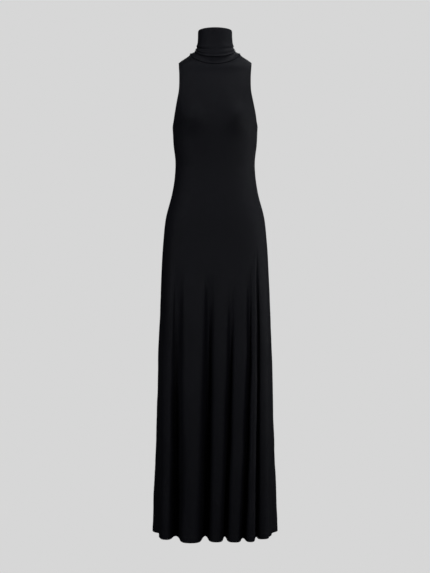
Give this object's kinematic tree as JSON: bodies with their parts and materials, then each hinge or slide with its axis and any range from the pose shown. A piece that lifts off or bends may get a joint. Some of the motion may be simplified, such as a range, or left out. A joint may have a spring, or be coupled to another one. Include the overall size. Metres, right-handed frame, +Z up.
{
  "type": "evening dress",
  "caption": "Sleeveless floor-length evening dress with a rolled turtleneck, cut-in armholes, a fitted body and a softly fluted skirt, filled out with no wearer.",
  "frame": {"origin": "on the centre line, at the height where the shoulder seams meet the neck, which is where the wearer's shoulders hold the dress up", "axes": "+Z up towards the collar, -Y out of the front, +X towards the right of someone looking at the front"},
  "size_m": [0.3944, 0.4092, 1.5754],
  "materials": {
    "black_jersey": "matte stretch jersey with a faint soft sheen"
  },
  "bodies": {
    "root": {"front": "black_jersey", "back": "black_jersey", "collar": "black_jersey"}
  },
  "joints": []
}
